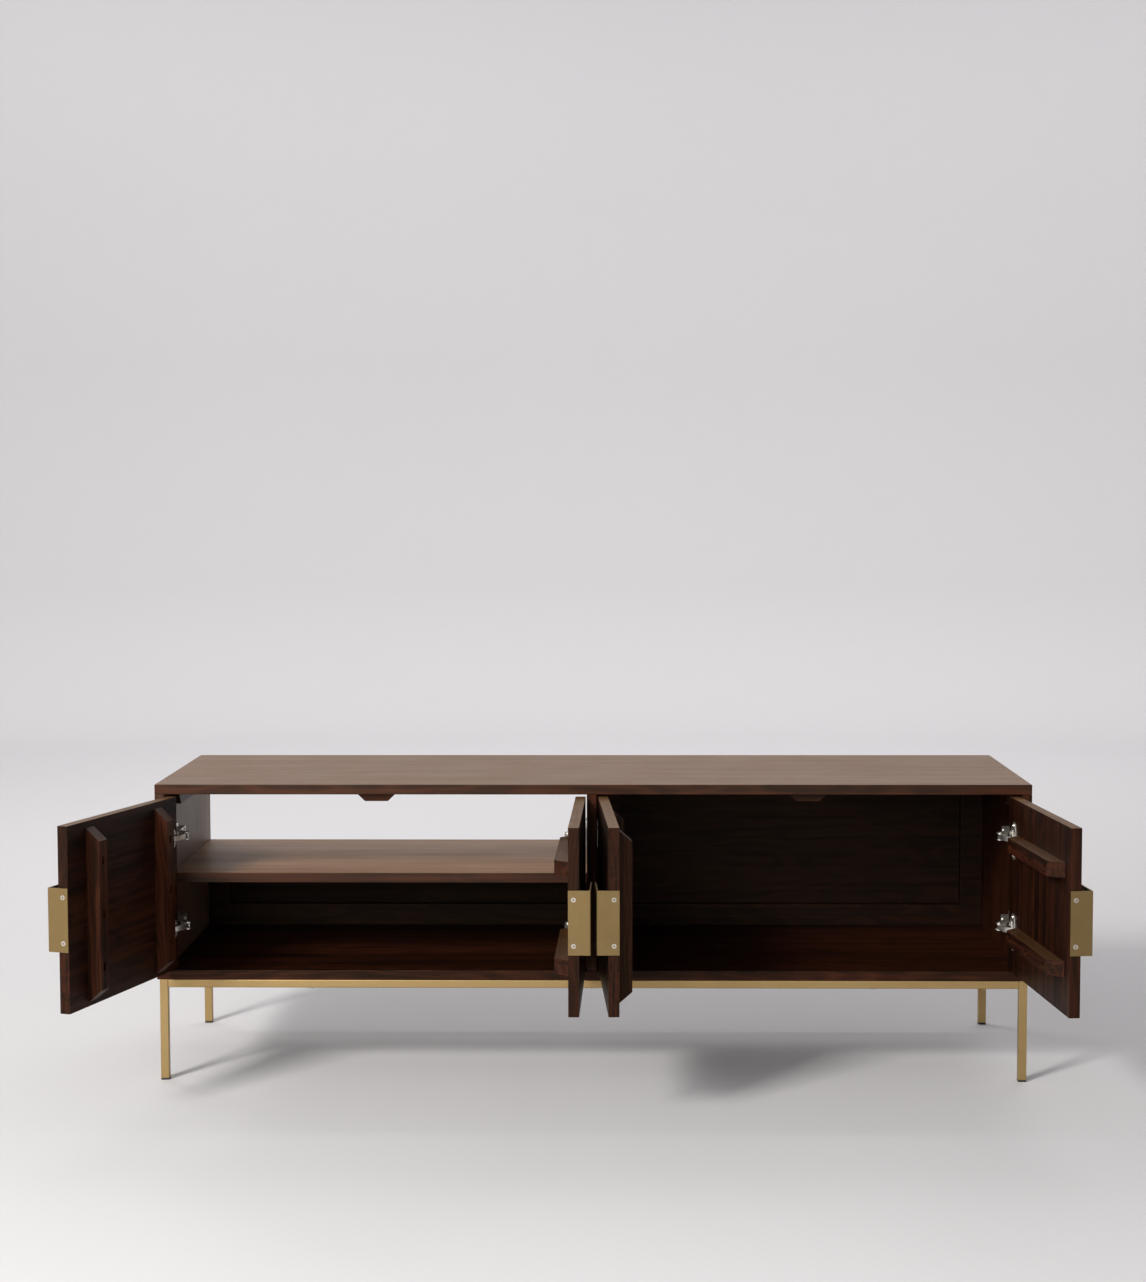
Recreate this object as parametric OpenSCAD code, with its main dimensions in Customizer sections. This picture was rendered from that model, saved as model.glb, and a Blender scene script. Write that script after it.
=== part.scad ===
/* [Carcass] */
// Overall width of the cabinet
body_w = 1400; // [1200:10:1800]
// Overall depth of the cabinet
body_d = 400; // [340:5:480]
// Overall height from floor to top surface
body_h = 480; // [430:5:600]
// Thickness of top, bottom, sides, divider and shelf
board_t = 16; // [15:0.5:18]
// Distance from the door line back to the front edge of the shelf
shelf_setback = 45; // [40:1:80]
// Thickness of the back panel sheets
ply_t = 4; // [3:0.5:6]
// Width of the back frame strips
strip_w = 38; // [25:1:60]
// Thickness of the back frame strips
strip_t = 16; // [12:1:20]
// Recess of the back sheets from the rear edge
back_recess = 7; // [2:1:15]

/* [Frame] */
// Height of the underside of the box above the floor
leg_h = 164; // [120:2:240]
// Outside size of the square tube
tube = 13; // [12:0.5:20]
// Inset of the legs from the ends of the box
leg_inset = 4; // [0:1:20]
// Inset of the legs from the front and rear edges
leg_inset_y = 1; // [0:1:15]

/* [Doors] */
// Thickness of the door boards
door_t = 16; // [15:0.5:18]
// Gap beside the hinged edge of each door
side_gap = 2.5; // [2.5:0.1:3]
// Gap above each door
top_gap = 4; // [3:0.5:6]
// Gap below each door
bottom_gap = 2; // [2:0.5:5]
// Width of the battens across their face
batten_w = 23; // [18:1:26]
// Depth of the battens behind the door
batten_d = 22; // [20:1:24]
// Length of the sloping end of each batten
batten_slope = 19; // [12:1:22]
// Opening angle of the door beside the left side panel
open_1 = 107; // [0:1:110]
// Opening angle of the door to the left of the divider
open_2 = 89; // [0:1:110]
// Opening angle of the door to the right of the divider
open_3 = 87; // [0:1:110]
// Opening angle of the door beside the right side panel
open_4 = 95; // [0:1:110]

/* [Handles] */
// Height of the folded metal handle
handle_h = 95; // [80:1:120]
// Thickness of the handle metal
handle_t = 2; // [1.5:0.5:2.5]
// How far the handle stands out in front of the door
handle_out = 17; // [14:1:24]
// Length of the handle lip along the door
lip_l = 72; // [30:1:90]

/* [Hinges] */
// Height of each hinge above and below the middle of the door
hinge_z = 73; // [60:1:76]
// Diameter of the hinge cup
cup_d = 35; // [35:1:35]

/* [Hidden] */
z_bot = leg_h + board_t;
z_top = body_h - board_t;
hx = body_w / 2;
hy = body_d / 2;
inner_x = hx - board_t;
div_x = board_t / 2;
bay_w = inner_x - div_x;
bay_c = (inner_x + div_x) / 2;
door_w = bay_w / 2 - side_gap - handle_t - 1.5;
door_z0 = z_bot + bottom_gap;
door_z1 = z_top - top_gap;
door_h = door_z1 - door_z0;
door_zc = (door_z0 + door_z1) / 2;
shelf_z = z_bot + (z_top - z_bot - board_t) / 2;
back_y = hy - back_recess;
piv_x = 5.5;
piv_y = 3.6;
cup_u = 21.5;
cup_deep = 11.5;
pin_u = 14;
pin_w = 14.5;
nose_x = 30;
nose_y = 23;
link_a0 = 32;
link_k = 1.2636;
link_l = 32;
slot_z = [-80, 0, 80];
slot_u = [85, 177, 269];
bv_in = 49;
bv_out = door_w - 53 - batten_w;
bh_0 = 50;
bh_1 = door_w - 28;
bh_z = hinge_z;
cross_w = 1.3;
rests = [open_1, open_2, open_3, open_4];
hinge_xs = [-inner_x, -div_x, div_x, inner_x];
dirs = [1, -1, 1, -1];

wood = [0.27, 0.14, 0.09];
wood_in = [0.22, 0.11, 0.07];
brass = [0.80, 0.68, 0.44];
nickel = [0.78, 0.77, 0.74];
dark = [0.08, 0.08, 0.08];
steel = [0.45, 0.42, 0.36];

// Shared shapes

module board(x0, x1, y0, y1, z0, z1) {
    translate([x0, y0, z0])
        cube([x1 - x0, y1 - y0, z1 - z0]);
}

// Places a shape given in cabinet-side coordinates of one door bay: X away from the
// panel that carries the hinges, Y back from the door line, Z up.
module at_side(i) {
    translate([hinge_xs[i], -hy, 0])
        mirror([dirs[i] < 0 ? 1 : 0, 0, 0])
            children();
}

// Turns a closed door's shape to its resting angle about the hinge axis.
module at_door(i) {
    at_side(i)
        translate([piv_x, piv_y, 0])
            rotate([0, 0, -rests[i]])
                translate([side_gap - piv_x, -piv_y, 0])
                    children();
}

// A trapezoid batten standing on the inner face, length along Z.
module batten_v(u0, z0, z1) {
    translate([u0 + batten_w, door_t, 0])
        rotate([0, -90, 0])
            linear_extrude(height = batten_w)
                polygon([[z0, 0], [z1, 0], [z1 - batten_slope, batten_d],
                    [z0 + batten_slope, batten_d]]);
}

// The same batten lying along the door.
module batten_h(u0, u1, zc) {
    translate([0, door_t, zc - batten_w / 2])
        linear_extrude(height = batten_w)
            polygon([[u0, 0], [u1, 0], [u1 - batten_slope, batten_d],
                [u0 + batten_slope, batten_d]]);
}

// Elongated screw pockets sunk into a batten that stands upright.
module pockets_v(uc) {
    for (s = slot_z) {
        translate([uc, door_t + batten_d + 0.1, door_zc + s])
            rotate([90, 0, 0])
                linear_extrude(height = 10.1)
                    union() {
                        translate([0, -3.5])
                            circle(r = 3.6, $fn = 20);
                        translate([0, 3.5])
                            circle(r = 3.6, $fn = 20);
                        square([7.2, 7], center = true);
                    }
        translate([uc, door_t + batten_d + 0.1, door_zc + s])
            rotate([90, 0, 0])
                cylinder(r = 1.75, h = batten_d + 1, $fn = 20);
    }
}

module pockets_h(zc) {
    for (s = slot_u) {
        translate([s, door_t + batten_d + 0.1, zc])
            rotate([90, 0, 0])
                linear_extrude(height = 10.1)
                    union() {
                        translate([-3.5, 0])
                            circle(r = 3.6, $fn = 20);
                        translate([3.5, 0])
                            circle(r = 3.6, $fn = 20);
                        square([7, 7.2], center = true);
                    }
        translate([s, door_t + batten_d + 0.1, zc])
            rotate([90, 0, 0])
                cylinder(r = 1.75, h = batten_d + 1, $fn = 20);
    }
}

// Door board with cup bores and pilot holes.
module door_board(i, upright) {
    at_door(i)
        difference() {
            translate([0, 0, door_z0])
                cube([door_w, door_t, door_h]);
            for (s = [-1, 1]) {
                translate([cup_u, door_t + 0.1, door_zc + s * hinge_z])
                    rotate([90, 0, 0])
                        cylinder(r = cup_d / 2, h = cup_deep + 0.3, $fn = 40);
                for (e = [-1, 1])
                    translate([cup_u + 6, door_t + 0.1, door_zc + s * hinge_z + e * 24])
                        rotate([90, 0, 0])
                            cylinder(r = 1.5, h = 10, $fn = 16);
                translate([door_w + 0.1, door_t / 2, door_zc + s * (handle_h / 2 - 13.5)])
                    rotate([0, -90, 0])
                        cylinder(r = 1.5, h = 14, $fn = 16);
            }
            if (upright)
                for (u = [bv_in, bv_out])
                    for (s = slot_z)
                        translate([u + batten_w / 2, door_t + 0.1, door_zc + s])
                            rotate([90, 0, 0])
                                cylinder(r = 1.5, h = 10, $fn = 16);
            if (!upright)
                for (z = [-bh_z, bh_z])
                    for (s = slot_u)
                        translate([s, door_t + 0.1, door_zc + z])
                            rotate([90, 0, 0])
                                cylinder(r = 1.5, h = 10, $fn = 16);
        }
}

module upright_batten(i, u0) {
    at_door(i)
        difference() {
            batten_v(u0, door_z0 + 6, door_z1 - 10);
            pockets_v(u0 + batten_w / 2);
        }
}

module level_batten(i, s) {
    at_door(i)
        difference() {
            batten_h(bh_0, bh_1, door_zc + s * bh_z);
            pockets_h(door_zc + s * bh_z);
        }
}

// Folded strip handle: plate on the door edge, return lip in front of the door.
module handle(i) {
    at_door(i)
        translate([0, 0, door_zc - handle_h / 2])
            difference() {
                linear_extrude(height = handle_h)
                    polygon([[door_w, door_t], [door_w + handle_t, door_t],
                        [door_w + handle_t, -handle_out + 1], [door_w + handle_t - 1, -handle_out],
                        [door_w + handle_t - lip_l, -handle_out],
                        [door_w + handle_t - lip_l, -handle_out + handle_t],
                        [door_w - 1, -handle_out + handle_t], [door_w, -handle_out + handle_t + 1]]);
                for (z = [13.5, handle_h - 13.5])
                    translate([door_w - 0.1, door_t / 2, z])
                        rotate([0, 90, 0]) {
                            cylinder(r = 1.9, h = handle_t + 1, $fn = 20);
                            translate([0, 0, 0.4])
                                cylinder(r1 = 1.9, r2 = 3.85, h = handle_t - 0.28, $fn = 20);
                        }
            }
}

// Countersunk screw, axis along +Z, head top at z = 0.
module flat_screw(head_r, shank_l) {
    difference() {
        union() {
            translate([0, 0, -1.5])
                cylinder(r1 = 1.5, r2 = head_r, h = 1.5, $fn = 20);
            translate([0, 0, -shank_l])
                cylinder(r = 1.4, h = shank_l - 1.4, $fn = 16);
        }
        for (a = [0, 90])
            rotate([0, 0, a])
                translate([-head_r * 0.52, -cross_w / 2, -1.1])
                    cube([head_r * 1.04, cross_w, 2]);
    }
}

// Pan head screw, axis along +Z, seat at z = 0.
module pan_screw(head_r, shank_l) {
    difference() {
        union() {
            cylinder(r1 = head_r, r2 = head_r * 0.72, h = 1.8, $fn = 20);
            translate([0, 0, -shank_l])
                cylinder(r = 1.4, h = shank_l + 0.2, $fn = 16);
        }
        for (a = [0, 90])
            rotate([0, 0, a])
                translate([-head_r * 0.48, -cross_w / 2, 0.6])
                    cube([head_r * 0.96, cross_w, 2]);
    }
}

module door_screws(i, upright) {
    at_door(i) {
        for (s = [-1, 1])
            translate([door_w + handle_t, door_t / 2, door_zc + s * (handle_h / 2 - 13.5)])
                rotate([0, 90, 0])
                    rotate([0, 0, 20])
                        flat_screw(3.6, 13);
        for (s = [-1, 1])
            for (e = [-1, 1])
                translate([cup_u + 6, door_t + 1.25, door_zc + s * hinge_z + e * 24])
                    rotate([-90, 0, 0])
                        rotate([0, 0, 35])
                            pan_screw(3.4, 9);
        if (upright)
            for (u = [bv_in, bv_out])
                for (s = slot_z)
                    translate([u + batten_w / 2, door_t + batten_d - 10, door_zc + s])
                        rotate([-90, 0, 0])
                            rotate([0, 0, 15 + s])
                                pan_screw(3.3, 20);
        if (!upright)
            for (z = [-bh_z, bh_z])
                for (s = slot_u)
                    translate([s, door_t + batten_d - 10, door_zc + z])
                        rotate([-90, 0, 0])
                            rotate([0, 0, s])
                                pan_screw(3.3, 20);
    }
}

// Pressed hinge cup with screw flange and the pin that carries the link.
module hinge_cup() {
    difference() {
        union() {
            translate([0, door_t, 0])
                rotate([-90, 0, 0])
                    linear_extrude(height = 1.2)
                        hull() {
                            circle(r = 18.5, $fn = 40);
                            translate([6, 24])
                                circle(r = 6, $fn = 24);
                            translate([6, -24])
                                circle(r = 6, $fn = 24);
                        }
            translate([0, door_t - cup_deep, 0])
                rotate([-90, 0, 0])
                    cylinder(r = 17.4, h = cup_deep + 0.2, $fn = 40);
        }
        translate([0, door_t - cup_deep + 1, 0])
            rotate([-90, 0, 0])
                cylinder(r = 16.3, h = cup_deep + 2, $fn = 40);
        for (e = [-1, 1])
            translate([6, door_t - 1, e * 24])
                rotate([-90, 0, 0])
                    cylinder(r = 1.7, h = 4, $fn = 16);
        translate([-24, door_t - 2.5, -5.5])
            cube([12, 5, 11]);
    }
    translate([pin_u - cup_u, pin_w, -15])
        cylinder(r = 1.5, h = 10.6, $fn = 20);
    translate([pin_u - cup_u, pin_w, 4.4])
        cylinder(r = 1.5, h = 10.6, $fn = 20);
    translate([pin_u - cup_u, pin_w, -4.6])
        cylinder(r = 1.2, h = 9.2, $fn = 20);
}

module hinge_cups(i) {
    at_door(i)
        for (s = [-1, 1])
            translate([cup_u, 0, door_zc + s * hinge_z])
                hinge_cup();
}

// Cranked arm: two cheeks joined by a web on the side facing the bay.
module hinge_arm() {
    for (z = [-5.9, 4.5])
        translate([0, 0, z])
            linear_extrude(height = 1.4)
                difference() {
                    union() {
                        translate([nose_x, nose_y])
                            circle(r = 5.5, $fn = 28);
                        polygon([[nose_x + 5.5, nose_y], [32, 30], [15, 47], [15, 96],
                            [4.2, 96], [4.2, 44], [nose_x - 10, 28], [nose_x - 5.4, nose_y - 1]]);
                    }
                    translate([nose_x, nose_y])
                        circle(r = 1.6, $fn = 16);
                }
    translate([0, 0, -4.6])
        linear_extrude(height = 9.2)
            polygon([[32, 30], [15, 47], [15, 96], [13.6, 96], [13.6, 46.4], [30.8, 29.2]]);
    for (y = [58, 84])
        translate([14.9, y, 0])
            rotate([0, 90, 0])
                difference() {
                    cylinder(r = 4, h = 1.8, $fn = 20);
                    for (a = [20, 110])
                        rotate([0, 0, a])
                            translate([-2.4, -0.4, 1])
                                cube([4.8, 0.8, 1]);
                }
}

module hinge_arms(i) {
    at_side(i)
        for (s = [-1, 1])
            translate([0, 0, door_zc + s * hinge_z])
                hinge_arm();
}

// Mounting plate screwed to the side panel.
module hinge_plate() {
    translate([0, 64, 0]) {
        rotate([0, 90, 0])
            linear_extrude(height = 2)
                union() {
                    square([22, 68], center = true);
                    translate([-16, -4])
                        circle(r = 7.5, $fn = 24);
                    translate([16, -4])
                        circle(r = 7.5, $fn = 24);
                    translate([0, -4])
                        square([32, 15], center = true);
                }
        translate([1.9, -30, -4.2])
            cube([2.3, 62, 8.4]);
        for (z = [-16, 16])
            translate([1.9, -4, z])
                rotate([0, 90, 0])
                    difference() {
                        cylinder(r1 = 4.2, r2 = 3, h = 2, $fn = 20);
                        for (a = [30, 120])
                            rotate([0, 0, a])
                                translate([-2.4, -0.4, 1.1])
                                    cube([4.8, 0.8, 1]);
                    }
    }
}

module hinge_plates(i) {
    at_side(i)
        for (s = [-1, 1])
            translate([0, 0, door_zc + s * hinge_z])
                hinge_plate();
}

// Curved link on the cup's pin, reaching into the fork of the arm.
module link_shape() {
    difference() {
        union() {
            circle(r = 2.7, $fn = 24);
            polygon([[0.5, 2.6], [6, 4.6], [14, 5.4], [22, 4.1], [link_l, 1.6], [link_l + 1, 0],
                [link_l, -1], [22, 1.6], [14, 3.2], [7, 2.4], [2.5, -0.8]]);
        }
        circle(r = 1.25, $fn = 24);
    }
}

module hinge_links(i) {
    at_door(i)
        for (s = [-1, 1])
            translate([pin_u, pin_w, door_zc + s * hinge_z - 4])
                rotate([0, 0, link_a0 + link_k * rests[i]])
                    mirror([0, 1, 0])
                        linear_extrude(height = 8)
                            link_shape();
}

// Carcass

module top_panel() {
    color(wood) board(-hx, hx, -hy, hy, z_top, body_h);
}

module bottom_panel() {
    color(wood) board(-hx, hx, -hy, hy, leg_h, z_bot);
}

module left_side_panel() {
    color(wood) board(-hx, -inner_x, -hy, hy, z_bot, z_top);
}

module right_side_panel() {
    color(wood) board(inner_x, hx, -hy, hy, z_bot, z_top);
}

module centre_divider() {
    color(wood) board(-div_x, div_x, -hy, back_y, z_bot, z_top);
}

module left_shelf() {
    color(wood) board(-inner_x, -div_x, -hy + shelf_setback, back_y, shelf_z, shelf_z + board_t);
}

module left_back_panel() {
    color(wood_in) board(-inner_x, -div_x, back_y - ply_t, back_y, z_bot, shelf_z);
}

module right_back_panel() {
    color(wood_in) board(div_x, inner_x, back_y - ply_t, back_y, z_bot, z_top);
}

// Four strips butted together as one frame in front of a back sheet.
module strip_frame(x0, x1, z0, z1) {
    difference() {
        board(x0, x1, back_y - ply_t - strip_t, back_y - ply_t, z0, z1);
        board(x0 + strip_w, x1 - strip_w, back_y - ply_t - strip_t - 1, back_y - ply_t + 1,
            z0 + strip_w, z1 - strip_w);
    }
}

module left_back_frame() {
    color(wood) strip_frame(-inner_x, -div_x, z_bot, shelf_z);
}

module right_back_frame() {
    color(wood) strip_frame(div_x, inner_x, z_bot, z_top);
}

// Cleat under the top panel with a sloping front end, running back as far as rear.
module cleat(i, rear) {
    at_side(i)
        rotate([90, 0, 90])
            linear_extrude(height = 20)
                polygon([[door_t + 2, z_top], [door_t + 20, z_top - 20],
                    [rear, z_top - 20], [rear, z_top]]);
}

module left_top_cleat() {
    color(wood) cleat(0, body_d - back_recess);
}

module right_top_cleat() {
    color(wood) cleat(3, body_d - back_recess - ply_t - strip_t);
}

module door_stop(xc) {
    translate([xc, -hy + door_t + 1, z_top])
        rotate([-90, 0, 0])
            linear_extrude(height = 24)
                polygon([[-32, 0], [32, 0], [18.5, 13], [-18.5, 13]]);
}

module left_door_stop() {
    color(wood) door_stop(-bay_c);
}

module right_door_stop() {
    color(wood) door_stop(bay_c);
}

// Metal frame

module leg(sx, sy) {
    x0 = sx * (hx - leg_inset) - (sx > 0 ? tube : 0);
    y0 = sy * (hy - leg_inset_y) - (sy > 0 ? tube : 0);
    difference() {
        translate([x0, y0, 3])
            cube([tube, tube, leg_h - 3]);
        translate([x0 + 1.2, y0 + 1.2, 2])
            cube([tube - 2.4, tube - 2.4, leg_h - 5]);
    }
}

module front_left_leg() {
    color(brass) leg(-1, -1);
}

module front_right_leg() {
    color(brass) leg(1, -1);
}

module rear_left_leg() {
    color(brass) leg(-1, 1);
}

module rear_right_leg() {
    color(brass) leg(1, 1);
}

module rail_x(sy) {
    y0 = sy * (hy - leg_inset_y) - (sy > 0 ? tube : 0);
    translate([-hx + leg_inset + tube, y0, leg_h - tube])
        cube([body_w - 2 * leg_inset - 2 * tube, tube, tube]);
}

module rail_y(sx) {
    x0 = sx * (hx - leg_inset) - (sx > 0 ? tube : 0);
    translate([x0, -hy + leg_inset_y + tube, leg_h - tube])
        cube([tube, body_d - 2 * leg_inset_y - 2 * tube, tube]);
}

module front_rail() {
    color(brass) rail_x(-1);
}

module rear_rail() {
    color(brass) rail_x(1);
}

module left_rail() {
    color(brass) rail_y(-1);
}

module right_rail() {
    color(brass) rail_y(1);
}

module leg_end_caps() {
    color(dark)
        for (sx = [-1, 1])
            for (sy = [-1, 1]) {
                x0 = sx * (hx - leg_inset) - (sx > 0 ? tube : 0);
                y0 = sy * (hy - leg_inset_y) - (sy > 0 ? tube : 0);
                translate([x0, y0, 0])
                    cube([tube, tube, 3]);
                translate([x0 + 1.3, y0 + 1.3, 2.9])
                    cube([tube - 2.6, tube - 2.6, 10]);
            }
}

// Screw heads under the rails that hold the box down to the frame.
module frame_screws() {
    color(steel) {
        for (x = [-450, 0, 450])
            for (sy = [-1, 1])
                translate([x * body_w / 1400, sy * (hy - leg_inset_y - tube / 2), leg_h - tube])
                    rotate([180, 0, 0])
                        difference() {
                            cylinder(r1 = 4, r2 = 3, h = 2, $fn = 20);
                            translate([-2.4, -0.4, 1.1])
                                cube([4.8, 0.8, 1]);
                            translate([-0.4, -2.4, 1.1])
                                cube([0.8, 4.8, 1]);
                        }
        for (sx = [-1, 1])
            translate([sx * (hx - leg_inset - tube / 2), 0, leg_h - tube])
                rotate([180, 0, 0])
                    difference() {
                        cylinder(r1 = 4, r2 = 3, h = 2, $fn = 20);
                        translate([-2.4, -0.4, 1.1])
                            cube([4.8, 0.8, 1]);
                        translate([-0.4, -2.4, 1.1])
                            cube([0.8, 4.8, 1]);
                    }
    }
}

// Doors and their fittings

module door_1_panel() {
    color(wood) door_board(0, true);
}

module door_1_outer_batten() {
    color(wood) upright_batten(0, bv_out);
}

module door_1_inner_batten() {
    color(wood) upright_batten(0, bv_in);
}

module door_1_handle() {
    color(brass) handle(0);
}

module door_1_hinge_cups() {
    color(nickel) hinge_cups(0);
}

module door_1_screws() {
    color(steel) door_screws(0, true);
}

module door_1_hinge_arms() {
    color(nickel) hinge_arms(0);
}

module door_1_hinge_plates() {
    color(nickel) hinge_plates(0);
}

module door_1_hinge_links() {
    color(nickel) hinge_links(0);
}

module door_2_panel() {
    color(wood) door_board(1, false);
}

module door_2_upper_batten() {
    color(wood) level_batten(1, 1);
}

module door_2_lower_batten() {
    color(wood) level_batten(1, -1);
}

module door_2_handle() {
    color(brass) handle(1);
}

module door_2_hinge_cups() {
    color(nickel) hinge_cups(1);
}

module door_2_screws() {
    color(steel) door_screws(1, false);
}

module door_2_hinge_arms() {
    color(nickel) hinge_arms(1);
}

module door_2_hinge_plates() {
    color(nickel) hinge_plates(1);
}

module door_2_hinge_links() {
    color(nickel) hinge_links(1);
}

module door_3_panel() {
    color(wood) door_board(2, true);
}

module door_3_outer_batten() {
    color(wood) upright_batten(2, bv_out);
}

module door_3_inner_batten() {
    color(wood) upright_batten(2, bv_in);
}

module door_3_handle() {
    color(brass) handle(2);
}

module door_3_hinge_cups() {
    color(nickel) hinge_cups(2);
}

module door_3_screws() {
    color(steel) door_screws(2, true);
}

module door_3_hinge_arms() {
    color(nickel) hinge_arms(2);
}

module door_3_hinge_plates() {
    color(nickel) hinge_plates(2);
}

module door_3_hinge_links() {
    color(nickel) hinge_links(2);
}

module door_4_panel() {
    color(wood) door_board(3, false);
}

module door_4_upper_batten() {
    color(wood) level_batten(3, 1);
}

module door_4_lower_batten() {
    color(wood) level_batten(3, -1);
}

module door_4_handle() {
    color(brass) handle(3);
}

module door_4_hinge_cups() {
    color(nickel) hinge_cups(3);
}

module door_4_screws() {
    color(steel) door_screws(3, false);
}

module door_4_hinge_arms() {
    color(nickel) hinge_arms(3);
}

module door_4_hinge_plates() {
    color(nickel) hinge_plates(3);
}

module door_4_hinge_links() {
    color(nickel) hinge_links(3);
}

// Output

top_panel();
bottom_panel();
left_side_panel();
right_side_panel();
centre_divider();
left_shelf();
left_back_panel();
right_back_panel();
left_back_frame();
right_back_frame();
left_top_cleat();
right_top_cleat();
left_door_stop();
right_door_stop();
front_left_leg();
front_right_leg();
rear_left_leg();
rear_right_leg();
front_rail();
rear_rail();
left_rail();
right_rail();
leg_end_caps();
frame_screws();
door_1_panel();
door_1_outer_batten();
door_1_inner_batten();
door_1_handle();
door_1_hinge_cups();
door_1_screws();
door_1_hinge_arms();
door_1_hinge_plates();
door_1_hinge_links();
door_2_panel();
door_2_upper_batten();
door_2_lower_batten();
door_2_handle();
door_2_hinge_cups();
door_2_screws();
door_2_hinge_arms();
door_2_hinge_plates();
door_2_hinge_links();
door_3_panel();
door_3_outer_batten();
door_3_inner_batten();
door_3_handle();
door_3_hinge_cups();
door_3_screws();
door_3_hinge_arms();
door_3_hinge_plates();
door_3_hinge_links();
door_4_panel();
door_4_upper_batten();
door_4_lower_batten();
door_4_handle();
door_4_hinge_cups();
door_4_screws();
door_4_hinge_arms();
door_4_hinge_plates();
door_4_hinge_links();
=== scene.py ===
"""The looks of a tv stand with doors: stained boards, brass-coloured tube and strip, plated hinges.

Every CAD node stays in place and keeps its mesh. Boards, strips, tubes and handles get rounded edges
from modifiers, and materials whose grain follows each board, turned with the doors that stand open.
"""

import math

import bmesh
import bpy
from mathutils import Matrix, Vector

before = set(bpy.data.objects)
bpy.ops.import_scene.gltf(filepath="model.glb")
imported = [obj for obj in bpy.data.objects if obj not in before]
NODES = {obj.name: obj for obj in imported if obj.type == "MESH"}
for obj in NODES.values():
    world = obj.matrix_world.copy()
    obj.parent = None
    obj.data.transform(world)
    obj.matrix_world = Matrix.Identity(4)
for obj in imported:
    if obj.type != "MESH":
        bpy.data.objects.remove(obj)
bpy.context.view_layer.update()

DOORS = (1, 2, 3, 4)
UPRIGHT_BATTENS = (1, 3)

# ---------------------------------------------------------------- colours (linear)

STAIN = (
    (0.0046, 0.0014, 0.0007),
    (0.0120, 0.0034, 0.0015),
    (0.0305, 0.0086, 0.0033),
    (0.0570, 0.0180, 0.0070),
)
RUDDY = (0.057, 0.0120, 0.0062)
# painted reflection: pale warm colours mixed into faces that look up, for the backdrop's light reflected
# at a grazing angle, with a little dust; the warmer one is for the shelf
PAINTED_REFLECTION = (0.198, 0.103, 0.040)
WARM_PAINTED_REFLECTION = (0.335, 0.176, 0.084)
LACQUER_TINT = (1.0, 0.76, 0.57, 1.0)
SHEEN_TINT = (1.0, 0.58, 0.32, 1.0)
BRASS = (0.56, 0.390, 0.172)
BRASS_DARK = (0.31, 0.195, 0.075)
NICKEL = (0.82, 0.79, 0.73)
ZINC = (0.74, 0.70, 0.62)
SCREW = (0.60, 0.55, 0.46)
# painted shade for recesses and narrow gaps in screws and hinges
PAINTED_CREVICE_SHADE = (0.02, 0.015, 0.012)
PLASTIC = (0.010, 0.009, 0.009)
PLASTIC_DUST = (0.045, 0.042, 0.038)
BACKDROP = (0.636, 0.630, 0.645)

# height in metres on the backdrop, and the share of its colour there: painted shade that makes the wall
# darker than the floor, more so higher up
PAPER_TOP = 4.0
PAINTED_WALL_SHADE = ((0.0, 1.0), (0.55, 0.87), (1.4, 0.85), (2.2, 0.82))

# noise cycles in a metre: along the grain, then across it both ways
STREAKS = (2.0, 110.0, 110.0)
FIBRES = (14.0, 620.0, 620.0)
PORES = (42.0, 1150.0, 1150.0)
CLOUDS = (1.1, 3.5, 3.5)
RINGS = (0.9, 24.0, 24.0)
RING_WARP = (1.6, 9.0, 9.0)
PAINTED_REFLECTION_STREAKS = (3.0, 26.0, 26.0)
BRUSH_LINES = (9.0, 1500.0, 1500.0)

# rings on a sawn end are fine lines along the board's width, which is coordinate 1 or 2
END_LINES = {1: (1.0, 14.0, 300.0), 2: (1.0, 300.0, 14.0)}

# widths of the rounded edges, in metres
TOP_EDGE = 0.0012
BOTTOM_EDGE = 0.0011
BOARD_EDGE = 0.0010
DOOR_EDGE = 0.0009
STRIP_EDGE = 0.0009
BATTEN_EDGE = 0.0008
SHEET_EDGE = 0.0004
TUBE_EDGE = 0.0014
CAP_EDGE = 0.0006
HANDLE_EDGE = 0.0005
HINGE_EDGE = 0.0003

# how far in from an edge the finish is rubbed, in metres
WOOD_WEAR = 0.0016
BRASS_WEAR = 0.0009

# distances from a glue joint, in metres, where its dark line begins and where it is full
SEAM_BEGINS = 0.00035
SEAM_FULL = 0.00008

# where each stain colour sits between the darkest and the lightest grain
STAIN_STOPS = (0.22, 0.42, 0.62, 0.90)

# light colours
SKY = (1.0, 0.992, 0.990, 1.0)
KEY_WHITE = (1.0, 0.970, 0.925)
FILL_WHITE = (1.0, 0.99, 0.985)
WALL_WHITE = (1.0, 0.99, 1.0)
REAR_WHITE = (1.0, 0.985, 0.97)
REAR_WARM = (1.0, 0.98, 0.95)


def scaled(colour, share):
    """A colour made lighter or darker, never over white."""
    return tuple(min(1.0, c * share) for c in colour)


# ---------------------------------------------------------------- shader helpers

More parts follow.
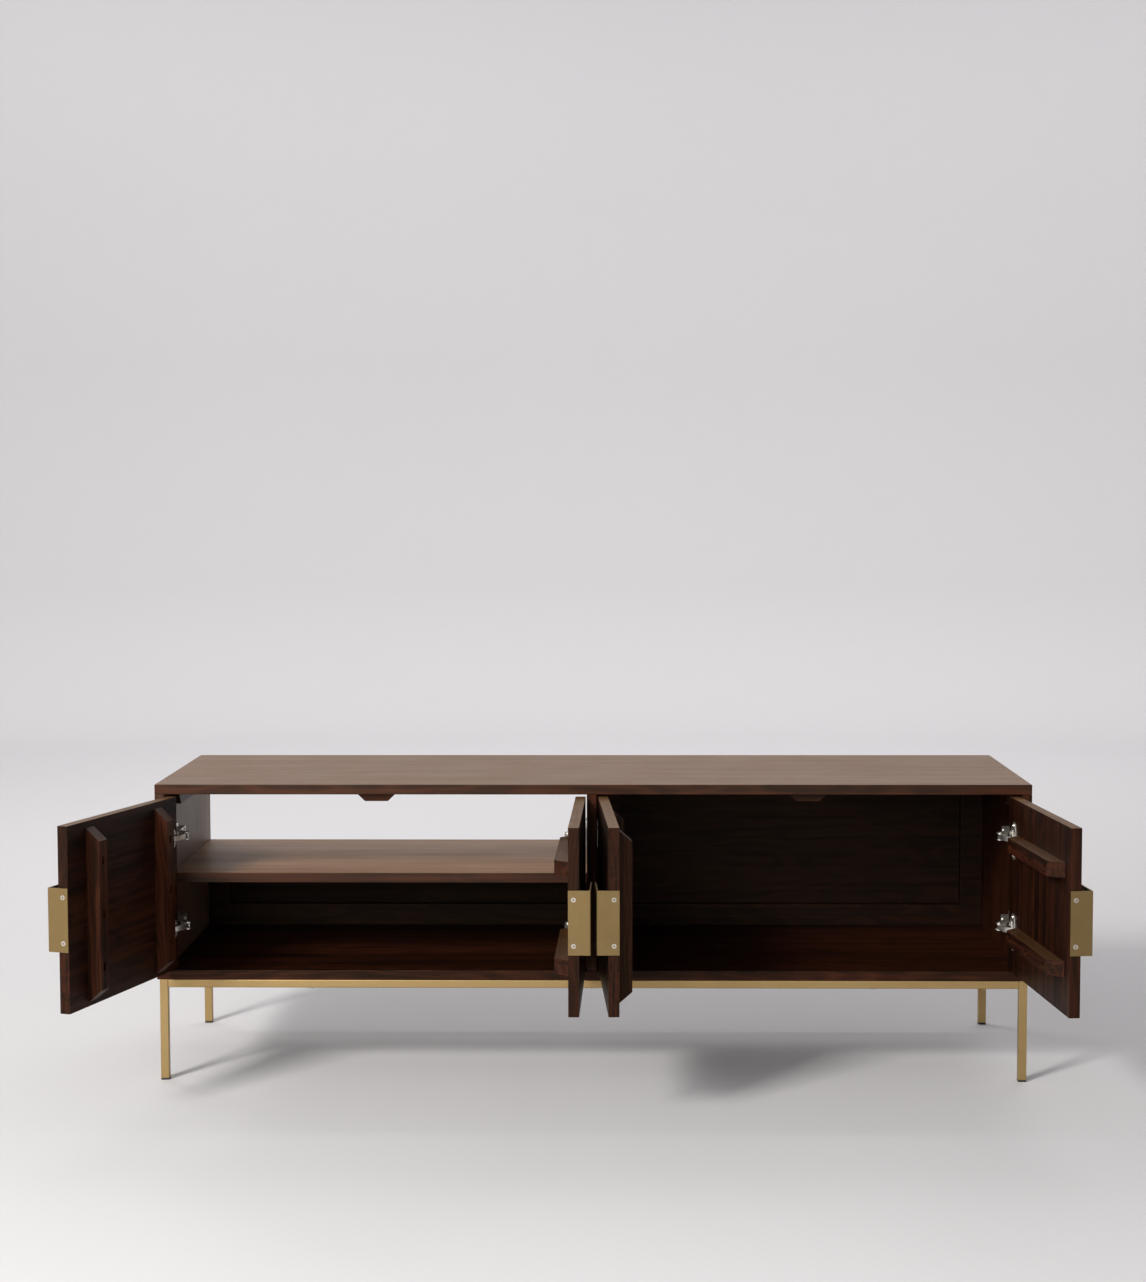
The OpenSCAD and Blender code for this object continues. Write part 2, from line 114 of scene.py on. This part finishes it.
class Graph:
    """A short way to write a shader: g.add("ShaderNodeMath", ...) and g.link(a, b)."""

    def __init__(self, name):
        self.mat = bpy.data.materials.new(name)
        self.mat.use_nodes = True
        self.tree = self.mat.node_tree
        self.tree.nodes.clear()
        self.out = self.add("ShaderNodeOutputMaterial")
        self.bsdf = self.add("ShaderNodeBsdfPrincipled")
        self.link(self.bsdf.outputs["BSDF"], self.out.inputs["Surface"])

    def add(self, kind, **values):
        node = self.tree.nodes.new(kind)
        for key, value in values.items():
            setattr(node, key, value)
        return node

    def link(self, a, b):
        self.tree.links.new(a, b)

    def put(self, value, socket):
        if isinstance(value, bpy.types.NodeSocket):
            self.link(value, socket)
        else:
            socket.default_value = value

    def shader(self, name, value):
        """Sets or links one socket of the surface shader."""
        self.put(value, self.bsdf.inputs[name])

    def math(self, operation, a, b=0.0, clamp=False):
        node = self.add("ShaderNodeMath", operation=operation, use_clamp=clamp)
        self.put(a, node.inputs[0])
        self.put(b, node.inputs[1])
        return node.outputs[0]

    def vector(self, operation, a, b=(0.0, 0.0, 0.0), scale=None):
        node = self.add("ShaderNodeVectorMath", operation=operation)
        self.put(a, node.inputs[0])
        self.put(b, node.inputs[1])
        if scale is not None:
            self.put(scale, node.inputs["Scale"])
        return node.outputs["Value"] if operation == "DOT_PRODUCT" else node.outputs[0]

    def combine(self, x, y, z):
        node = self.add("ShaderNodeCombineXYZ")
        for value, socket in zip((x, y, z), node.inputs):
            self.put(value, socket)
        return node.outputs[0]

    def parts(self, vector):
        node = self.add("ShaderNodeSeparateXYZ")
        self.link(vector, node.inputs[0])
        return node.outputs

    def stretch(self, vector, scales):
        node = self.add("ShaderNodeMapping", vector_type="POINT")
        self.link(vector, node.inputs["Vector"])
        node.inputs["Scale"].default_value = scales
        return node.outputs["Vector"]

    def noise(self, vector, scale, detail=3.0, rough=0.5, distortion=0.0):
        node = self.add("ShaderNodeTexNoise")
        self.link(vector, node.inputs["Vector"])
        node.inputs["Scale"].default_value = scale
        node.inputs["Detail"].default_value = detail
        node.inputs["Roughness"].default_value = rough
        node.inputs["Distortion"].default_value = distortion
        return node.outputs["Fac"]

    def drawn_out(self, grain, scales, detail, rough):
        """Noise that is drawn out along the grain."""
        return self.noise(self.stretch(grain, scales), 1.0, detail, rough)

    def centred(self, value, share):
        """A 0 to 1 value moved to run either side of 0, times share."""
        return self.math("MULTIPLY", self.math("SUBTRACT", value, 0.5), share)

    def remap(self, value, low, high, to_low=0.0, to_high=1.0):
        node = self.add("ShaderNodeMapRange", clamp=True)
        self.put(value, node.inputs["Value"])
        node.inputs["From Min"].default_value = low
        node.inputs["From Max"].default_value = high
        node.inputs["To Min"].default_value = to_low
        node.inputs["To Max"].default_value = to_high
        return node.outputs["Result"]

    def blend(self, factor, a, b):
        """Mixes two plain values."""
        node = self.add("ShaderNodeMix", data_type="FLOAT")
        for value, socket in zip((factor, a, b), (node.inputs[0], node.inputs[2], node.inputs[3])):
            self.put(value, socket)
        return node.outputs[0]

    def mix(self, factor, a, b, blend="MIX"):
        """Mixes two colours."""
        node = self.add("ShaderNodeMix", data_type="RGBA", blend_type=blend)
        self.put(factor, node.inputs[0])
        for value, socket in ((a, node.inputs[6]), (b, node.inputs[7])):
            self.put((*value, 1.0) if isinstance(value, tuple) else value, socket)
        return node.outputs[2]

    def ramp(self, value, stops):
        node = self.add("ShaderNodeValToRGB")
        self.link(value, node.inputs["Fac"])
        ramp = node.color_ramp
        while len(ramp.elements) < len(stops):
            ramp.elements.new(0.5)
        for element, (place, colour) in zip(ramp.elements, stops):
            element.position = place
            element.color = (*colour, 1.0)
        return node.outputs["Color"]

    def bump(self, height, strength, distance):
        node = self.add("ShaderNodeBump")
        node.inputs["Strength"].default_value = strength
        node.inputs["Distance"].default_value = distance
        self.link(height, node.inputs["Height"])
        return node.outputs["Normal"]

    def object_place(self):
        return self.add("ShaderNodeTexCoord").outputs["Object"]

    def board_axes(self, vector, along, turn):
        """A vector turned back by a door's angle, with its part along the grain as X."""
        back = self.add("ShaderNodeMapping", vector_type="POINT")
        self.link(vector, back.inputs["Vector"])
        back.inputs["Rotation"].default_value = (0.0, 0.0, -turn)
        xyz = self.parts(back.outputs["Vector"])
        order = {"X": "XYZ", "Y": "YXZ", "Z": "ZYX"}[along]
        return self.combine(*(xyz["XYZ".index(letter)] for letter in order))

    def board_place(self, along, turn, seed):
        """A place in metres with X along the grain, moved by seed so that no two boards match."""
        axes = self.board_axes(self.object_place(), along, turn)
        return self.vector("ADD", axes, (seed * 1.37, seed * 0.73, seed * 2.11))

    def end_face(self, along, turn):
        """1 on a board's sawn ends, and 0 on its faces and long edges."""
        normal = self.add("ShaderNodeTexCoord").outputs["Normal"]
        axes = self.board_axes(normal, along, turn)
        return self.remap(self.math("ABSOLUTE", self.parts(axes)["X"]), 0.6, 0.85)

    def edge_wear(self, radius, low=0.02, high=0.22):
        """1 on a sharp outer edge, fading to 0 within the radius."""
        soft = self.add("ShaderNodeBevel", samples=4)
        soft.inputs["Radius"].default_value = radius
        hard = self.add("ShaderNodeNewGeometry").outputs["Normal"]
        facing = self.vector("DOT_PRODUCT", soft.outputs[0], hard)
        return self.remap(self.math("SUBTRACT", 1.0, facing), low, high)


# ---------------------------------------------------------------- wood

def wood_rings(g, grain):
    """Growth rings as long cathedral bands, bent by a slow noise."""
    warp = g.drawn_out(grain, RING_WARP, 3.0, 0.55)
    bend = g.combine(0.0, g.math("MULTIPLY", warp, 5.0), 0.0)
    rings = g.add("ShaderNodeTexWave", wave_type="BANDS", bands_direction="Y", wave_profile="SIN")
    g.link(g.vector("ADD", g.stretch(grain, RINGS), bend), rings.inputs["Vector"])
    rings.inputs["Scale"].default_value = 1.0
    rings.inputs["Distortion"].default_value = 2.2
    rings.inputs["Detail"].default_value = 3.0
    rings.inputs["Detail Scale"].default_value = 0.8
    return rings.outputs["Fac"]


def wood_value(g, grain, streak, fibre, chance):
    """How light the stain is at a point: rings, streaks, slow clouds, fibres and each stave's own tone."""
    cloud = g.drawn_out(grain, CLOUDS, 2.0, 0.5)
    value = g.math("ADD", g.math("MULTIPLY", wood_rings(g, grain), 0.24), g.math("MULTIPLY", streak, 0.68))
    value = g.math("ADD", value, g.centred(cloud, 0.35))
    value = g.math("ADD", value, g.centred(fibre, 0.16))
    return g.math("ADD", value, g.centred(chance, 0.17))


def with_dust_and_painted_reflection(g, grain, colour, dust_and_painted_reflection, painted_reflection_colour):
    """Painted reflection with a little dust: faces that look up are mixed towards a pale warm colour, in
    streaks along the grain, for the backdrop's light reflected at a grazing angle.
    """
    up = g.parts(g.add("ShaderNodeNewGeometry").outputs["Normal"])["Z"]
    streaks = g.drawn_out(grain, PAINTED_REFLECTION_STREAKS, 3.0, 0.6)
    cover = g.remap(streaks, 0.25, 0.75, dust_and_painted_reflection * 0.7, dust_and_painted_reflection * 1.25)
    return g.mix(g.math("MULTIPLY", g.remap(up, 0.75, 0.97), cover), colour, painted_reflection_colour)


def stained_wood(name, along, across=1, stave=0.085, turn=0.0, seed=1.0, tone=1.0, red=0.0,
                 gloss=0.46, shine=0.16, sheen=0.0, dust_and_painted_reflection=0.0, painted_reflection_colour=PAINTED_REFLECTION):
    """Dark stained hardwood: glued staves, figure, fibres, open pores, satin lacquer and worn edges.

    along is the axis that the grain follows, and across is the coordinate (1 or 2) that counts staves.
    """
    g = Graph(name)
    place = g.board_place(along, turn, seed)
    count = g.math("DIVIDE", g.parts(place)[across], stave)

    # each stave has its own shift and tone
    chance = g.add("ShaderNodeTexWhiteNoise", noise_dimensions="1D")
    g.link(g.math("ADD", g.math("FLOOR", count), seed * 3.17), chance.inputs["W"])
    grain = g.vector("ADD", place, g.vector("SCALE", chance.outputs["Color"], scale=7.0))

    streak = g.blend(g.end_face(along, turn), g.drawn_out(grain, STREAKS, 4.0, 0.62),
                     g.drawn_out(grain, END_LINES[across], 3.0, 0.55))
    fibre = g.drawn_out(grain, FIBRES, 2.0, 0.6)
    pores = g.remap(g.drawn_out(grain, PORES, 1.0, 0.5), 0.66, 0.74)

    shade = [scaled(colour, tone) for colour in STAIN]
    value = wood_value(g, grain, streak, fibre, chance.outputs["Value"])
    colour = g.ramp(value, list(zip(STAIN_STOPS, shade)))
    colour = g.mix(g.remap(streak, 0.45, 0.75, 0.0, 0.35 + red), colour, scaled(RUDDY, tone))
    colour = g.mix(g.math("MULTIPLY", pores, 0.75), colour, scaled(shade[0], 0.45))

    # lacquer rubbed thin on the edges
    patches = g.remap(g.noise(place, 38.0, 3.0, 0.6), 0.42, 0.66)
    wear = g.math("MULTIPLY", g.edge_wear(WOOD_WEAR), patches)
    colour = g.mix(g.math("MULTIPLY", wear, 0.55), colour, scaled(shade[3], 1.9))
    # painted reflection, with a little dust, on faces that look up
    if dust_and_painted_reflection:
        colour = with_dust_and_painted_reflection(g, grain, colour, dust_and_painted_reflection, painted_reflection_colour)

    # a hairline where staves meet
    off_middle = g.math("ABSOLUTE", g.math("SUBTRACT", g.math("FRACT", count), 0.5))
    seam = g.remap(off_middle, 0.5 - SEAM_BEGINS / stave, 0.5 - SEAM_FULL / stave)
    g.shader("Base Color", g.mix(g.math("MULTIPLY", seam, 0.55), colour, scaled(shade[0], 0.5)))

    rough = g.math("ADD", g.remap(streak, 0.3, 0.75, gloss + 0.07, gloss - 0.05),
                   g.centred(g.noise(place, 9.0, 4.0, 0.6), 0.16))
    g.shader("Roughness", g.math("ADD", rough, g.math("MULTIPLY", pores, 0.18), clamp=True))
    g.shader("IOR", 1.5)
    g.shader("Specular IOR Level", shine)
    g.shader("Specular Tint", LACQUER_TINT)
    g.shader("Sheen Weight", sheen)
    g.shader("Sheen Roughness", 0.30)
    g.shader("Sheen Tint", SHEEN_TINT)
    raised = g.math("ADD", g.math("MULTIPLY", fibre, 0.5), g.math("MULTIPLY", streak, 0.5))
    sunk = g.math("ADD", g.math("MULTIPLY", pores, 0.9), seam)
    g.shader("Normal", g.bump(g.math("SUBTRACT", raised, sunk), 0.35, 0.00022))
    return g.mat


# ---------------------------------------------------------------- metal, plastic and paper

def satin_brass(name, along, turn=0.0, seed=1.0, tone=0.75, rough=0.40):
    """Brushed brass-coloured finish: fine lines along the strip, tarnish clouds, brighter edges."""
    g = Graph(name)
    place = g.board_place(along, turn, seed)
    lines = g.drawn_out(place, BRUSH_LINES, 2.0, 0.6)
    cloud = g.noise(place, 11.0, 4.0, 0.62, 0.6)
    spots = g.remap(g.noise(place, 160.0, 2.0, 0.5), 0.70, 0.80)
    colour = g.mix(g.remap(cloud, 0.35, 0.75, 0.0, 0.34), scaled(BRASS, tone), scaled(BRASS_DARK, tone))
    colour = g.mix(g.math("MULTIPLY", spots, 0.35), colour, scaled(BRASS_DARK, tone * 0.7))
    colour = g.mix(g.math("MULTIPLY", g.edge_wear(BRASS_WEAR), 0.45), colour, scaled(BRASS, tone * 1.35))
    g.shader("Base Color", colour)
    g.shader("Metallic", 1.0)
    dull = g.remap(cloud, 0.3, 0.8, rough - 0.04, rough + 0.12)
    g.shader("Roughness", g.math("ADD", dull, g.centred(lines, 0.10)))
    g.shader("Normal", g.bump(g.math("ADD", lines, g.math("MULTIPLY", cloud, 0.4)), 0.12, 0.00006))
    return g.mat


def plated_metal(name, colour, rough, seed, grime=0.35, crevice=0.002):
    """Bright plating: small scuffs, dull patches, and painted shade in recesses and narrow gaps."""
    g = Graph(name)
    place = g.vector("ADD", g.object_place(), (seed, seed * 2.0, seed * 0.5))
    patch = g.noise(place, 70.0, 3.0, 0.6, 0.4)
    scuff = g.remap(g.noise(place, 900.0, 2.0, 0.7, 1.5), 0.62, 0.74)
    # painted shade: darker where an occlusion node finds other surfaces close by, as in screw recesses and
    # hinge gaps
    open_air = g.add("ShaderNodeAmbientOcclusion", samples=6, only_local=True)
    open_air.inputs["Distance"].default_value = crevice
    painted_shade_in_recesses = g.remap(open_air.outputs["AO"], 0.35, 0.85, 0.9, 0.0)
    dull = g.mix(g.remap(patch, 0.4, 0.75, 0.0, grime), colour, scaled(colour, 0.45))
    scuffed = g.mix(g.math("MULTIPLY", scuff, 0.4), dull, scaled(colour, 0.6))
    g.shader("Base Color", g.mix(painted_shade_in_recesses, scuffed, PAINTED_CREVICE_SHADE))
    g.shader("Metallic", 1.0)
    worn = g.remap(patch, 0.3, 0.8, rough - 0.03, rough + 0.14)
    g.shader("Roughness", g.math("ADD", worn, g.math("MULTIPLY", scuff, 0.12)))
    g.shader("Normal", g.bump(g.math("ADD", patch, g.math("MULTIPLY", scuff, -0.6)), 0.10, 0.00008))
    return g.mat


def black_plastic(name):
    """Moulded plastic with a fine grain and a little dust."""
    g = Graph(name)
    place = g.object_place()
    grain = g.noise(place, 1800.0, 2.0, 0.5)
    dust_and_painted_reflection = g.remap(g.noise(place, 120.0, 4.0, 0.6), 0.5, 0.75)
    g.shader("Base Color", g.mix(g.math("MULTIPLY", dust_and_painted_reflection, 0.25), PLASTIC, PLASTIC_DUST))
    g.shader("Roughness", g.remap(dust_and_painted_reflection, 0.0, 1.0, 0.48, 0.68))
    g.shader("Normal", g.bump(grain, 0.25, 0.00006))
    return g.mat


def backdrop_paper(name):
    """Matt grey-white paper with a fine tooth; painted shade makes the wall darker than the floor, more so
    higher up.
    """
    g = Graph(name)
    place = g.object_place()
    tooth = g.noise(place, 350.0, 3.0, 0.6)
    drift = g.noise(place, 0.7, 2.0, 0.5)
    stops = [(height / PAPER_TOP, scaled(BACKDROP, share)) for height, share in PAINTED_WALL_SHADE]
    paper = g.ramp(g.math("DIVIDE", g.parts(place)["Z"], PAPER_TOP), stops)
    faint = g.remap(drift, 0.3, 0.7, 0.0, 0.25)
    g.shader("Base Color", g.mix(faint, paper, (0.96, 0.96, 0.96), "MULTIPLY"))
    g.shader("Roughness", 0.92)
    g.shader("Specular IOR Level", 0.15)
    g.shader("Normal", g.bump(tooth, 0.08, 0.0002))
    return g.mat


# ---------------------------------------------------------------- dressing the CAD nodes

def round_edges(piece, width, segments):
    """Rounds a CAD node's edges with modifiers, so its own mesh stays as it came."""
    joined = piece.modifiers.new("joined_faces", "WELD")
    joined.merge_threshold = 0.00001
    flat = piece.modifiers.new("whole_flats", "DECIMATE")
    flat.decimate_type = "DISSOLVE"
    flat.angle_limit = math.radians(0.4)
    bevel = piece.modifiers.new("eased_edges", "BEVEL")
    bevel.width = width
    bevel.segments = segments
    bevel.limit_method = "ANGLE"
    bevel.angle_limit = math.radians(35)
    bevel.use_clamp_overlap = True
    even = piece.modifiers.new("even_shading", "WEIGHTED_NORMAL")
    even.weight = 80
    even.keep_sharp = False
    piece.data.shade_smooth()


def dress(node, material, ease=0.0, segments=2):
    """Gives a CAD node its material and, where ease is set, rounded edges of that width in metres."""
    piece = NODES[node]
    piece.data.materials.clear()
    piece.data.materials.append(material)
    if ease:
        round_edges(piece, ease, segments)


def dress_boards():
    """The box: level boards have level grain, and the sides and divider have upright grain."""
    case = dict(stave=0.095, gloss=0.44, red=0.10)
    dress("top_panel", stained_wood("wood_top", "X", seed=1.0, tone=1.05, gloss=0.40, shine=0.30,
                                    sheen=0.12, dust_and_painted_reflection=0.42), TOP_EDGE, 3)
    dress("bottom_panel", stained_wood("wood_bottom", "X", seed=2.3, tone=1.15, **case), BOTTOM_EDGE, 3)
    dress("left_side_panel", stained_wood("wood_left_side", "Z", seed=3.1, shine=0.42, sheen=0.34, **case),
          BOARD_EDGE, 3)
    dress("right_side_panel", stained_wood("wood_right_side", "Z", seed=4.7, **case), BOARD_EDGE, 3)
    dress("centre_divider", stained_wood("wood_divider", "Z", seed=5.9, **case), BOARD_EDGE, 3)
    dress("left_shelf", stained_wood("wood_shelf", "X", seed=6.4, tone=1.05, shine=0.32, sheen=0.08,
                                     dust_and_painted_reflection=0.80, painted_reflection_colour=WARM_PAINTED_REFLECTION, **case), BOARD_EDGE, 3)


def dress_backs_and_blocks():
    """Back sheets and their strips, and the blocks under the top, one of each for either bay."""
    for n, side in enumerate(("left", "right")):
        # the back sheets and their strips are stained much darker as painted shade for the inside of the
        # box
        sheet = stained_wood(f"wood_{side}_back_panel", "X", 2, stave=0.6, seed=7.0 + n, tone=0.30,
                             gloss=0.55)
        strips = stained_wood(f"wood_{side}_back_frame", "X", 2, stave=0.3, seed=9.0 + n, tone=0.40,
                              gloss=0.48)
        cleat = stained_wood(f"wood_{side}_top_cleat", "Y", stave=0.3, seed=11.0 + n, tone=0.8)
        stop = stained_wood(f"wood_{side}_door_stop", "X", 2, stave=0.3, seed=13.0 + n, tone=0.9)
        dress(f"{side}_back_panel", sheet, SHEET_EDGE)
        dress(f"{side}_back_frame", strips, STRIP_EDGE)
        dress(f"{side}_top_cleat", cleat, STRIP_EDGE)
        dress(f"{side}_door_stop", stop, STRIP_EDGE)


def dress_metal_frame():
    """Legs and rails brushed along their length, the foot caps, and the screws up into the box."""
    for n, node in enumerate(("front_left_leg", "front_right_leg", "rear_left_leg", "rear_right_leg")):
        dress(node, satin_brass(f"brass_{node}", "Z", seed=20.0 + n), TUBE_EDGE, 3)
    for n, node in enumerate(("front_rail", "rear_rail")):
        dress(node, satin_brass(f"brass_{node}", "X", seed=25.0 + n), TUBE_EDGE, 3)
    for n, node in enumerate(("left_rail", "right_rail")):
        dress(node, satin_brass(f"brass_{node}", "Y", seed=28.0 + n), TUBE_EDGE, 3)
    dress("leg_end_caps", black_plastic("plastic_caps"), CAP_EDGE)
    dress("frame_screws", plated_metal("zinc_frame_screws", ZINC, 0.30, 31.0))


def door_turn(number):
    """The angle a door stands at, about +Z, from the direction of its largest upright face."""
    mesh = NODES[f"door_{number}_panel"].data
    biggest = max(mesh.polygons, key=lambda f: f.area if abs(f.normal.z) < 0.1 else 0.0)
    return math.atan2(biggest.normal.y, biggest.normal.x) + math.pi / 2


def dress_door(n):
    """Grain runs level on doors with upright battens, and upright on doors with level battens."""
    turn = door_turn(n)
    upright = n in UPRIGHT_BATTENS
    board = stained_wood(f"wood_door_{n}", "X" if upright else "Z", 2, stave=0.070, turn=turn,
                         seed=40.0 + n * 1.7, tone=0.66, red=0.25, dust_and_painted_reflection=0.55)
    dress(f"door_{n}_panel", board, DOOR_EDGE, 3)
    batten = stained_wood(f"wood_battens_{n}", "Z" if upright else "X", stave=0.4, turn=turn,
                          seed=50.0 + n, red=0.15, dust_and_painted_reflection=0.25)
    for kind in ("outer", "inner") if upright else ("upper", "lower"):
        dress(f"door_{n}_{kind}_batten", batten, BATTEN_EDGE)
    strip = satin_brass(f"brass_handle_{n}", "X", turn=turn, seed=60.0 + n, tone=0.41, rough=0.42)
    dress(f"door_{n}_handle", strip, HANDLE_EDGE, 3)
    for kind in ("cups", "arms", "plates", "links"):
        plate = plated_metal(f"nickel_{kind}_{n}", NICKEL, 0.38, 70.0 + n)
        dress(f"door_{n}_hinge_{kind}", plate, HINGE_EDGE)
    dress(f"door_{n}_screws", plated_metal(f"zinc_screws_{n}", SCREW, 0.26, 80.0 + n, 0.5))


# ---------------------------------------------------------------- studio

def cove_rings(half_x, bend, wall_top, steps=16):
    """Reach from the middle, as a share of the whole, and height of each ring from floor to wall top."""
    rings = [(0.25, 0.0), (0.5, 0.0), (1.0 - bend / half_x, 0.0)]
    for k in range(1, steps + 1):
        a = math.pi / 2 * k / steps
        rings.append((1.0 - bend / half_x * (1.0 - math.sin(a)), bend * (1.0 - math.cos(a))))
    return rings + [(1.0, wall_top)]


def seamless_backdrop():
    """Pale floor that curves up into an oval wall all round, far enough out for a camera on any side."""
    half_x, half_y, centre_y, bend, wall_top = 8.0, 7.6, -1.4, 1.5, 5.2
    sides = 96
    mesh = bmesh.new()
    loops = []
    turns = [math.tau * k / sides for k in range(sides)]
    for reach, z in cove_rings(half_x, bend, wall_top):
        wide, deep = half_x * reach, half_y * reach
        spots = [(wide * math.cos(t), centre_y + deep * math.sin(t), z) for t in turns]
        loops.append([mesh.verts.new(spot) for spot in spots])
    mesh.faces.new(loops[0])
    for a, b in zip(loops, loops[1:]):
        for k in range(sides):
            mesh.faces.new((a[k], a[k - 1], b[k - 1], b[k]))
    bmesh.ops.recalc_face_normals(mesh, faces=mesh.faces)
    for face in mesh.faces:
        face.smooth = True
    data = bpy.data.meshes.new("backdrop")
    mesh.to_mesh(data)
    mesh.free()
    data.materials.append(backdrop_paper("backdrop_paper"))
    sheet = bpy.data.objects.new("backdrop", data)
    bpy.context.scene.collection.objects.link(sheet)


def area_light(name, place, aim, size, power, colour, spread=180.0):
    """A softbox at place that faces aim; spread is the whole angle that it shines into, in degrees."""
    data = bpy.data.lights.new(name, "AREA")
    data.shape = "RECTANGLE"
    data.size, data.size_y = size
    data.energy = power
    data.color = colour
    data.spread = math.radians(spread)
    lamp = bpy.data.objects.new(name, data)
    lamp.location = place
    lamp.rotation_euler = (Vector(aim) - Vector(place)).to_track_quat("-Z", "Y").to_euler()
    lamp.visible_camera = False
    bpy.context.scene.collection.objects.link(lamp)


def studio_light():
    """A warm key from the front left, broad fills, and soft light on the wall before and behind."""
    world = bpy.data.worlds.new("studio")
    bpy.context.scene.world = world
    world.use_nodes = True
    sky = world.node_tree.nodes["Background"]
    sky.inputs["Color"].default_value = SKY
    sky.inputs["Strength"].default_value = 0.25
    area_light("key_softbox", (-3.3, -4.6, 3.5), (0.0, -0.1, 0.2), (1.15, 1.15), 335.0, KEY_WHITE)
    area_light("front_fill", (-2.2, -5.0, 2.1), (0.0, 0.2, 0.1), (4.0, 2.4), 162.0, FILL_WHITE)
    area_light("front_wash", (0.0, -5.4, 5.0), (0.0, -9.0, 1.0), (7.0, 1.0), 215.0, WALL_WHITE)
    area_light("backdrop_wash", (0.0, 2.6, 5.0), (0.0, 6.2, 1.2), (7.0, 1.0), 112.0, WALL_WHITE)
    area_light("rear_softbox", (0.3, 3.9, 3.9), (0.2, 3.0, 0.0), (5.5, 1.2), 60.0, REAR_WHITE)
    area_light("rear_fill", (-3.9, 4.2, 3.0), (0.0, 0.25, 0.3), (2.4, 1.6), 8.5, REAR_WARM, 55.0)


def photo_camera():
    """A long lens in front of the stand, just under a metre up, aimed a little down."""
    pitch, yaw, roll = 0.0668, -0.0180, -0.0020
    data = bpy.data.cameras.new("camera")
    data.sensor_fit = "HORIZONTAL"
    data.sensor_width = 36.0
    data.lens = 69.35
    data.clip_end = 60.0
    camera = bpy.data.objects.new("camera", data)
    camera.location = (0.0335, -3.6960, 0.9435)
    forward = Vector((math.sin(yaw) * math.cos(pitch), math.cos(yaw) * math.cos(pitch), -math.sin(pitch)))
    camera.rotation_euler = forward.to_track_quat("-Z", "Y").to_euler()
    camera.rotation_euler.rotate_axis("Z", roll)
    bpy.context.scene.collection.objects.link(camera)
    bpy.context.scene.camera = camera


# ---------------------------------------------------------------- build

dress_boards()
dress_backs_and_blocks()
dress_metal_frame()
for number in DOORS:
    dress_door(number)
seamless_backdrop()
studio_light()
photo_camera()
bpy.context.scene.view_settings.view_transform = "Standard"
